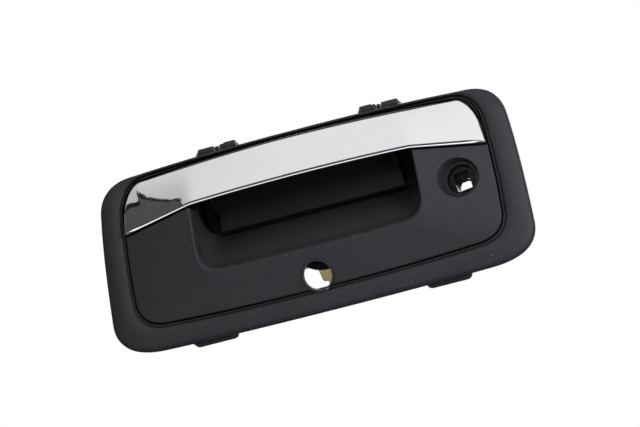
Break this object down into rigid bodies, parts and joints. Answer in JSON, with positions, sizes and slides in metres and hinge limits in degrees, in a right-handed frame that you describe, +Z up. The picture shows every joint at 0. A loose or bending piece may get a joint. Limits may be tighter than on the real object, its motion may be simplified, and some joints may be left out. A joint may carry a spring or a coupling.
{
  "type": "tailgate handle with camera opening",
  "caption": "Pickup tailgate handle: textured black bezel with a hand pocket, a bright pull handle hinged along the top, a round camera opening and a lock recess.",
  "frame": {"origin": "on the flat rear edge of the bezel frame's bottom rail, at the middle of the part's width", "axes": "+X across the truck to the right as seen by someone facing the handle, +Z up the tailgate, +Y into the tailgate; the handle faces -Y"},
  "size_m": [0.3796, 0.0618, 0.1724],
  "materials": {
    "textured_plastic": "fine grained black moulding",
    "smooth_plastic": "smooth black moulding",
    "bright_plating": "bright chrome plating",
    "plain_steel": "bright zinc",
    "zinc_plate": "yellow zinc plated steel",
    "natural_nylon": "uncoloured nylon, slightly translucent",
    "bumper_rubber": "moulded rubber"
  },
  "bodies": {
    "bezel": {"bezel_frame": "textured_plastic", "handle_housing": "textured_plastic", "crank_pivot_screw": "plain_steel", "crank_washer": "plain_steel", "crank_spring": "plain_steel", "lock_retaining_clip": "plain_steel", "camera_bracket": "natural_nylon", "hinge_pin_left": "plain_steel", "hinge_pin_right": "plain_steel", "pin_retainer_left": "plain_steel", "pin_retainer_right": "plain_steel", "handle_bumper_left": "bumper_rubber", "handle_bumper_right": "bumper_rubber", "bracket_screw_left": "plain_steel", "bracket_screw_right": "plain_steel", "frame_screw_1": "plain_steel", "frame_screw_2": "plain_steel", "frame_screw_3": "plain_steel", "frame_screw_4": "plain_steel", "frame_screw_5": "plain_steel", "frame_screw_6": "plain_steel", "mount_stud_1": "plain_steel", "mount_stud_2": "plain_steel", "mount_stud_3": "plain_steel", "mount_stud_4": "plain_steel"},
    "handle": {"handle_cover": "bright_plating", "handle_core": "smooth_plastic", "cover_screw_1": "plain_steel", "cover_screw_2": "plain_steel", "cover_screw_3": "plain_steel", "cover_screw_4": "plain_steel"},
    "crank": {"bell_crank": "zinc_plate", "rod_clip_upper": "natural_nylon", "rod_clip_lower": "natural_nylon"},
    "rotor": {"lock_rotor": "smooth_plastic"},
    "slider": {"lock_slider": "zinc_plate"}
  },
  "joints": [
    {"name": "handle_pull", "type": "hinge", "parent": "bezel", "child": "handle", "pos_m": [0, 0.006, 0.1637], "axis": [-1, 0, 0], "range_deg": [0, 30], "stiffness_Nm_per_rad": 0.4, "springref_deg": -20.05},
    {"name": "crank_turn", "type": "hinge", "parent": "bezel", "child": "crank", "pos_m": [0, 0.0215, 0.1177], "axis": [0, 1, 0], "range_deg": [0, 24], "stiffness_Nm_per_rad": 0.1, "springref_deg": -17.19, "deforming": ["crank_spring"]},
    {"name": "lock_turn", "type": "hinge", "parent": "bezel", "child": "rotor", "pos_m": [0.136, 0, 0.0797], "axis": [0, 1, 0], "range_deg": [0, 80]},
    {"name": "lock_slide", "type": "slide", "parent": "bezel", "child": "slider", "axis": [1, 0, 0], "range_m": [0, 0.02186]}
  ],
  "couplings": [
    {"joint": "crank_turn", "follows": "handle_pull", "ratio": 0.8},
    {"joint": "lock_turn", "follows": "lock_slide", "rad_per_m": 63.87}
  ]
}
